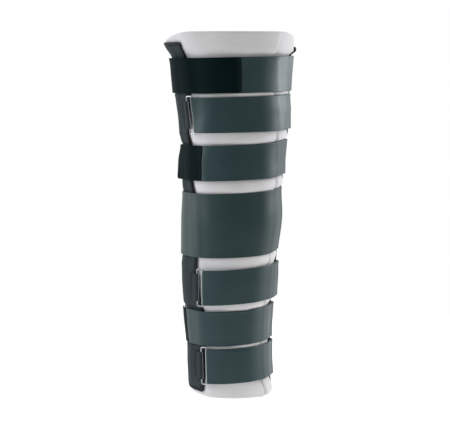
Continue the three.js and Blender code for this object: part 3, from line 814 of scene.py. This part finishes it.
def rounded_loop(width, height, radius, step):
    """Points round a rounded rectangle, each with the direction that points out of it."""
    steps = max(CORNER_STEPS.least, round(CORNER_STEPS.per_radius * radius / step))
    reach = np.array([width, height]) / 2 - radius
    points, outs = [], []
    for start in (0, 90, 180, 270):
        turn = np.radians(start + np.linspace(0, 90, steps + 1))
        arc = np.stack([np.cos(turn), np.sin(turn)], axis=-1)
        middle = reach * np.sign(arc.sum(axis=0))
        out = arc[-1]
        onwards = np.array([-out[1], out[0]])
        side = 2 * np.abs(onwards) @ reach
        count = max(1, round(side / step))
        shares = np.arange(1, count)[:, None] / count
        points += [middle + radius * arc, middle + radius * out + shares * side * onwards]
        outs += [arc, np.tile(out, (count - 1, 1))]
    return np.concatenate(points), np.concatenate(outs)


# The tape's section: distance in from the panel's edge and height
BINDING_STEP = 1.6
BINDING_PROFILE = (
    (4.0, 0.2), (4.0, 1.4), (3.95, 2.3), (3.7, 2.85), (3.1, 3.1), (2.2, 3.15), (1.3, 3.05), (0.6, 2.7),
    (0.15, 2.1), (0.0, 1.5), (0.1, 0.8), (0.5, 0.3), (1.2, 0.05), (2.6, 0.0),
)
BINDING_SEAM = Sizes(inset=2.9, height=3.0, pucker=0.14, dip=0.2, over=2)


def binding_loop(side, step):
    height = PANEL_TOP[side] - PANEL.bottom
    points, outs = rounded_loop(PANEL.width, height, PANEL.corner, step)
    return points + [PANEL.width / 2, PANEL.bottom + height / 2], outs


def panel_binding(side):
    points, outs = binding_loop(side, BINDING_STEP)
    length = running_length(points)
    pucker = BINDING_SEAM.pucker * np.cos(2 * math.pi * length / STITCH.pitch)
    rings = []
    for inset, height in BINDING_PROFILE:
        at = points - inset * outs
        near_seam = math.exp(-((inset - BINDING_SEAM.inset) ** 2)) * (height > BINDING_SEAM.over)
        sewn = (pucker - BINDING_SEAM.dip) * near_seam
        rings.append(panel_point(side, at[:, 0], at[:, 1], height + sewn))
    across = running_length(np.array(BINDING_PROFILE))
    uv = np.stack(np.broadcast_arrays(length[:, None], across[None]), axis=-1)
    return closed_hoop(np.stack(rings, axis=1), uv)


def panel_stitching(side):
    def sewn_line(back, z):
        back, z = np.broadcast_arrays(back, z)
        height = panel_surface(side, back, z) + THREAD_LIFT
        return raised_line(lambda level: panel_point(side, back, z, level), height)

    points, outs = binding_loop(side, BINDING_STEP)
    seam = points - BINDING_SEAM.inset * outs
    back, z = np.concatenate([seam, seam[:1]]).T
    lines = [raised_line(lambda level: panel_point(side, back, z, level), BINDING_SEAM.height)]
    ends = pocket_ends(side)
    lines += [sewn_line(line, np.linspace(*ends, 240)) for line in POCKET_LINES]
    tack = np.linspace(*BAR_TACK.back, 4)
    lines += [(*sewn_line(tack, height), *BAR_TACK.stitch) for height in BAR_TACK.heights]
    lines += [sewn_line(np.linspace(*POCKET_LINES, 30), end) for end in ends]
    return lines


# Straps
STRAP_STEP = 1.1
STRAP_ROW = 3.4
STRAP_FINE = [0, 0.1, 0.35, 0.8, 1.5]
FOLD_STEPS = 12
STRAP_RIM = 0.85
PAST_FOLD = 10.0


def strap_ribbon(points, thickness, width, full_width, fold_column=None):
    """A sheet of even thickness with rounded edges about a grid of middle points.

    Its length on the cloth counts from the fold, or where it has none from well past the reach of the
    painted fold highlight.
    """
    length = running_length(points.swapaxes(0, 1))[None]
    to_side = np.minimum(width, full_width - width)
    to_edge = np.minimum(to_side, np.minimum(length, length[0, -1] - length))
    half = thickness / 2 * rim(to_edge, STRAP_RIM)[..., None]
    normals = unit(np.cross(np.gradient(points, axis=1), np.gradient(points, axis=0)))
    start = -PAST_FOLD if fold_column is None else length[0, fold_column]
    uv = np.stack(np.broadcast_arrays(length - start, width), axis=-1)
    return closed_sheet(points + normals * half, points - normals * half, uv)


def angle_steps(strap, start, end):
    count = max(2, round(abs(end - start) * strap.degree / STRAP_STEP))
    return np.linspace(start, end, count + 1)[None]


def angle_behind_bar(strap, back):
    """Angle of a place behind the front bar of a strap's ring."""
    radius = float(panel_radius(section_at(strap.z)))
    return strap.bar - SIDES[strap.ring] * math.degrees(back / radius)


def out_and_ahead(side, angle):
    """Level directions out of the limb at an angle, and along a side's panel towards the front."""
    turn = math.radians(angle)
    out = np.array([math.cos(turn), math.sin(turn), 0])
    return out, SIDES[side] * np.array([-out[1], out[0], 0])


def bar_at(strap, z):
    """Middle of the ring's front bar at heights of its strap."""
    return strap_point(strap, strap.bar, z, FIRST_LAYER + FOLD_RADIUS)


def second_layer(strap, angle):
    """The second layer stands higher near the ring, where it comes over the bar."""
    away = np.radians(np.abs(angle - strap.bar)) * float(section_at(strap.z)[HALF_WIDTH])
    rise = 2 * FOLD_RADIUS - STRAP_THICKNESS - SEAT_GAP
    return SECOND_LAYER + rise * (1 - smoothstep(away, 0, FOLD_EASE[strap.ring]))


def fold_round(bar, out, beyond, radius):
    """Half a turn round a bar, from its inner side past beyond to its outer side."""
    turn = math.pi * np.arange(1, FOLD_STEPS) / FOLD_STEPS
    face = beyond * np.sin(turn)[:, None] - out * np.cos(turn)[:, None]
    return bar[:, None, :] + radius * face[None]


def row_heights(middle, width):
    return middle - width / 2 + spaced(width, STRAP_ROW, STRAP_FINE)


UNEVEN = Sizes(size=0.16, period=70, edge=0.2, edge_from=0.86)


def strap_ease(strap, angle, z, seed):
    """Small unevenness of a strap's surface, with its edges turned up a little."""
    across = np.abs(z - strap.z) / (strap.width / 2)
    uneven = UNEVEN.size * (1 + wobble(angle * strap.degree, z, seed, UNEVEN.period))
    return uneven + UNEVEN.edge * smoothstep(across, UNEVEN.edge_from, 1)


def folded_strap(strap, seed):
    z = row_heights(strap.z, strap.width)[:, None]
    first = angle_steps(strap, strap.sewn, strap.bar)
    second = angle_steps(strap, strap.bar, strap.seam)
    out, ahead = out_and_ahead(strap.ring, strap.bar)
    layers = [
        strap_point(strap, first, z, FIRST_LAYER),
        fold_round(bar_at(strap, z[:, 0]), out, -ahead, FOLD_RADIUS),
        strap_point(strap, second, z, second_layer(strap, second) + strap_ease(strap, second, z, seed)),
    ]
    fold_column = first.size + FOLD_STEPS // 2 - 1
    return strap_ribbon(np.concatenate(layers, axis=1), STRAP_THICKNESS, z - z[0], strap.width, fold_column)


TAB_CORNER = 5
TAB_LIFT = 0.1


def hook_tab(strap, seed):
    to_end = SIDES[strap.ring]
    length = abs(strap.end - strap.seam) * strap.degree - SEAT_GAP
    from_end = spaced(length, STRAP_STEP, STRAP_FINE)[None]
    angle = strap.end - to_end * from_end / strap.degree
    inset = corner_inset(from_end, TAB_CORNER)
    share = spaced(strap.width, STRAP_ROW, STRAP_FINE)[:, None] / strap.width
    z = strap.z + (share - 0.5) * (strap.width - 2 * inset)
    corners = LOOSE_TAB.corners if strap.name == LOOSE_TAB.strap else (0, 0)
    flare = lerp(corners[0], corners[1], share) * (1 - smoothstep(from_end, 0, LOOSE_TAB.length))
    lift = SECOND_LAYER + flare + strap_ease(strap, angle, z, seed) + TAB_LIFT
    points = strap_point(strap, angle, z, lift)
    return strap_ribbon(points, STRAP_THICKNESS, share * strap.width, strap.width)


def knee_strap(seed):
    strap = KNEE_STRAP
    z = row_heights(strap.z, strap.width)[:, None]
    length = (strap.stop - strap.start) * strap.degree
    angle = strap.start + spaced(length, STRAP_STEP, STRAP_FINE)[None] / strap.degree
    points = strap_point(strap, angle, z, FIRST_LAYER + strap_ease(strap, angle, z, seed))
    return strap_ribbon(points, STRAP_THICKNESS, z - z[0], strap.width)


# Rings and their keepers
WIRE_SIDES = 16
WIRE_STEP = 0.6
TAIL_STEPS = 16


def ring_frame(strap):
    """Middles of the ring's front and rear bars, and the ways along the bars and from front to rear."""
    low, high = bar_at(strap, strap.z + strap.width * np.array([-0.5, 0.5]))
    front = (low + high) / 2
    up = unit(high - low)
    lift = KEEPER.thickness + WIRE / 2 + 4 * SEAT_GAP
    seat = over_panel(strap.ring, angle_behind_bar(strap, RING.pitch), front[2], lift)
    behind = seat - front
    behind = unit(behind - up * behind.dot(up)) * RING.pitch
    return front, front + behind, up, behind


def wire_ring(strap):
    front, rear, up, behind = ring_frame(strap)
    middle = (front + rear) / 2
    across = unit(behind)
    normal = np.cross(across, up)
    loop, outs = rounded_loop(RING.pitch, RING.opening + WIRE, RING.corner, WIRE_STEP)
    turns = 2 * math.pi * np.arange(WIRE_SIDES)[:, None] / WIRE_SIDES
    at = loop[:, None] + WIRE / 2 * np.cos(turns) * outs[:, None]
    rings = middle + at[..., :1] * across + at[..., 1:] * up + WIRE / 2 * np.sin(turns) * normal
    return closed_hoop(rings, rings[..., [0, 2]])


def ring_keeper(strap):
    """A short tape that runs forward along the panel, round the rear bar and back over itself."""
    side = strap.ring
    _, rear, up, _ = ring_frame(strap)
    loop_radius = WIRE / 2 + SEAT_GAP + KEEPER.thickness / 2
    bar_turn = angle_behind_bar(strap, RING.pitch)
    tail_turn = angle_behind_bar(strap, RING.pitch + KEEPER.tail)
    out, ahead = out_and_ahead(side, bar_turn)
    z = row_heights(rear[2], KEEPER.height)[:, None]
    bar = rear + up * ((z - rear[2]) / up[2])
    shares = np.linspace(1, 0, TAIL_STEPS)[None]

    def layer(share, facing, height):
        flat = over_panel(side, lerp(bar_turn, tail_turn, share), z, height)
        under_bar = over_panel(side, np.full_like(share, bar_turn), z, height)
        ease = (1 - smoothstep(share, 0, KEEPER_EASE))[..., None]
        lifted = flat + (bar[:, None] + facing * loop_radius * out - under_bar) * ease
        lifted[..., 2] = z
        return lifted

    lower = SEAT_GAP + KEEPER.thickness / 2
    upper = lower + KEEPER.thickness + SEAT_GAP
    points = np.concatenate([
        layer(shares, -1, lower),
        fold_round(bar, out, ahead, loop_radius),
        layer(shares[:, ::-1], 1, upper),
    ], axis=1)
    fold_column = TAIL_STEPS + FOLD_STEPS // 2 - 1
    return strap_ribbon(points, KEEPER.thickness, z - z[0], KEEPER.height, fold_column)


# Sewn ends, seams and keepers
SEWN = Sizes(inset=3.0, length=13.0, from_end=2.5)
SEAM_ROWS = (1.6, 3.6)
KEEPER_ROWS = (0.8, 0.94)
ROW_INSET = 1.2
ON_STRAP = STRAP_THICKNESS / 2 + THREAD_LIFT


def box_stitch(strap, end, towards, offset_at):
    """A sewn box with a cross in it beside a strap's end, with the sign of the turn towards the front."""
    half = strap.width / 2 - SEWN.inset
    start = end + towards * SEWN.from_end / strap.degree
    stop = start + towards * SEWN.length / strap.degree
    corners = [(start, -half), (stop, -half), (stop, half), (start, half), (start, -half), (stop, half)]
    rows = [*zip(corners, corners[1:]), ((stop, -half), (start, half))]
    shares = np.linspace(0, 1, 40)
    lines = []
    for (angle_a, z_a), (angle_b, z_b) in rows:
        angle = lerp(angle_a, angle_b, shares)
        z = strap.z + lerp(z_a, z_b, shares)
        lines.append(raised_line(lambda level: strap_point(strap, angle, z, level), offset_at(angle, z)))
    return lines


def strap_stitching(strap, seed):
    """The sewn end of a ringed strap, and two rows across its hook tab beside the seam."""
    to_end = SIDES[strap.ring]
    lines = box_stitch(strap, strap.sewn, -to_end, lambda angle, z: FIRST_LAYER + ON_STRAP)
    z = strap.z + np.linspace(-0.5, 0.5, 40) * (strap.width - 2 * ROW_INSET)
    for away in SEAM_ROWS:
        angle = strap.seam + to_end * away / strap.degree
        height = SECOND_LAYER + strap_ease(strap, angle, z, seed) + ON_STRAP
        lines.append(raised_line(lambda level: strap_point(strap, angle, z, level), height))
    return lines


def knee_stitching(seed):
    def offset_at(angle, z):
        return FIRST_LAYER + strap_ease(KNEE_STRAP, angle, z, seed) + ON_STRAP

    return [line for end, towards in ((KNEE_STRAP.start, 1), (KNEE_STRAP.stop, -1))
            for line in box_stitch(KNEE_STRAP, end, towards, offset_at)]


def keeper_stitching(strap):
    """Two rows through both layers of a ring's keeper."""
    _, rear, _, _ = ring_frame(strap)
    z = rear[2] + np.linspace(-0.5, 0.5, 30) * (KEEPER.height - 2 * ROW_INSET)
    height = 2 * SEAT_GAP + 2 * KEEPER.thickness + THREAD_LIFT
    lines = []
    for share in KEEPER_ROWS:
        angle = angle_behind_bar(strap, RING.pitch + share * KEEPER.tail)
        lines.append(raised_line(lambda level: over_panel(strap.ring, angle, z, level), height))
    return lines


# The pieces, with a seed for the unevenness of each strap
KNEE_SEED = 40
STRAP_SEEDS = {"cloth": 50, "tab": 60}

foam = add_piece("foam_wrap_cover", foam_wrap(), FOAM, "foam_cover", "foam_wrap")
for side in SIDES:
    node = f"{side}_stay_panel"
    panel = add_piece(f"{side}_panel_cover", stay_panel(side), PANEL_CLOTH, "panel_fabric", node)
    add_piece(f"{side}_binding_tape", panel_binding(side), TAPE, "binding_tape", f"{side}_panel_binding")
    add_stitching(f"{side}_panel_stitching", panel_stitching(side))

add_piece("knee_strap_cloth", knee_strap(KNEE_SEED), KNEE_LOOP, "strap_loop", "knee_strap")
add_stitching("knee_strap_stitching", knee_stitching(KNEE_SEED))
for number, strap in enumerate(RINGED_STRAPS):
    name = strap.name
    cloth_seed, tab_seed = (seed + number for seed in STRAP_SEEDS.values())
    add_piece(f"{name}_cloth", folded_strap(strap, cloth_seed), LOOP, "strap_loop", name)
    add_piece(f"{name}_hook", hook_tab(strap, tab_seed), HOOK, "hook_tab", f"{name}_tab")
    add_stitching(f"{name}_stitching", strap_stitching(strap, tab_seed) + keeper_stitching(strap))
    add_piece(f"{name}_wire", wire_ring(strap), CHROME, "ring_wire", f"{name}_ring")
    add_piece(f"{name}_loop", ring_keeper(strap), KEEPER_CLOTH, "panel_fabric", f"{name}_keeper")


# Floor, light and camera, with lengths in metres
FLOOR = Sizes(reach=0.6, grey=0.35, glow=0.85, drop=0.0005)


def add_floor():
    mesh = bpy.data.meshes.new("floor")
    reach = FLOOR.reach
    corners = [(x * reach, y * reach, 0) for x, y in ((-1, -1), (1, -1), (1, 1), (-1, 1))]
    mesh.from_pydata(corners, [], [(0, 1, 2, 3)])
    floor = add_object("floor", mesh)
    floor.location.z = -FLOOR.drop
    material, _, shader = shader_of("floor")
    grey = FLOOR.grey
    set_inputs(shader, Base_Color=(grey, grey, grey, 1), Roughness=0.9, Specular_IOR_Level=0.0)
    set_inputs(shader, Emission_Color=(1, 1, 1, 1), Emission_Strength=FLOOR.glow)
    mesh.materials.append(material)


def add_area_light(name, place_m, target, size, power, colour):
    data = bpy.data.lights.new(name, "AREA")
    data.shape = "RECTANGLE"
    data.size, data.size_y = size
    data.energy = power
    data.color = colour
    lamp = add_object(name, data)
    lamp.location = place_m
    lamp.rotation_euler = aim(np.subtract(target, place_m))


def aim(direction):
    return Vector(direction).to_track_quat("-Z", "Y").to_euler()


# Brightness of the room at the sides and in front, its share behind, the brightness that shows, the way to
# the dark part and the ranges over which the light changes with the turn from it
STUDIO = Sizes(side_light=1.2, front_light=0.5, behind_share=0.65, seen=1.0,
               dark_side=(-0.31, -0.95, 0.05), front=(-0.1, 0.75), behind=(-0.9, -0.35))


def add_world():
    """White surroundings, less bright behind, with a dark part of the room before the front of the knee."""
    world = bpy.data.worlds.new("studio")
    world.use_nodes = True
    tree = world.node_tree
    towards = new_node(tree, "VectorMath")
    towards.operation = "DOT_PRODUCT"
    feed(towards.inputs[0], new_node(tree, "TexCoord").outputs["Generated"])
    feed(towards.inputs[1], STUDIO.dark_side)
    turn = towards.outputs["Value"]
    front = ranged(tree, turn, *STUDIO.front, STUDIO.side_light, STUDIO.front_light)
    behind = ranged(tree, turn, *STUDIO.behind, STUDIO.behind_share, 1)
    wall = math_node(tree, "MULTIPLY", front, behind)
    camera_ray = new_node(tree, "LightPath").outputs["Is Camera Ray"]
    seen = new_node(tree, "Mix", Factor=camera_ray, A=wall, B=STUDIO.seen)
    set_inputs(tree.nodes["Background"], Color=(1, 1, 1, 1), Strength=seen.outputs["Result"])
    bpy.context.scene.world = world


# Name, place, target, size, power in watts and colour
LIGHTS = (
    ("right_light", (1.65, 0.0, 0.8), (0, 0, 0.25), (1.5, 1.6), 6, (0.93, 0.97, 1)),
    ("left_light", (-1.6, 0.6, 0.8), (0, 0, 0.25), (1.0, 1.6), 12, (0.82, 0.93, 1)),
    ("rim_light", (0.75, 0.15, 0.46), (0.05, 0, 0.4), (0.4, 0.25), 1.4, (0.93, 0.97, 1)),
)
CAMERA = Sizes(azimuth=-18, pitch=5.43, distance=2.253, sideways=-0.007, height=0.4628, focal_px=1600)
LIMB_AXIS = (-0.0032, 0.004)
PHOTO_WIDTH = 450
SENSOR = 36.0


def add_camera():
    data = bpy.data.cameras.new("camera")
    data.sensor_width = SENSOR
    data.sensor_fit = "HORIZONTAL"
    data.lens = CAMERA.focal_px / PHOTO_WIDTH * SENSOR
    camera = add_object("camera", data)
    turn = math.radians(CAMERA.azimuth)
    pitch = math.radians(CAMERA.pitch)
    ahead = np.array([-math.sin(turn), math.cos(turn), 0])
    right = np.array([math.cos(turn), math.sin(turn), 0])
    aside = right * CAMERA.sideways - ahead * CAMERA.distance
    camera.location = np.array([*LIMB_AXIS, CAMERA.height]) + aside
    camera.rotation_euler = aim(ahead * math.cos(pitch) - np.array([0, 0, math.sin(pitch)]))
    bpy.context.scene.camera = camera


add_floor()
add_world()
for light in LIGHTS:
    add_area_light(*light)
add_camera()
bpy.context.scene.view_settings.view_transform = "Standard"
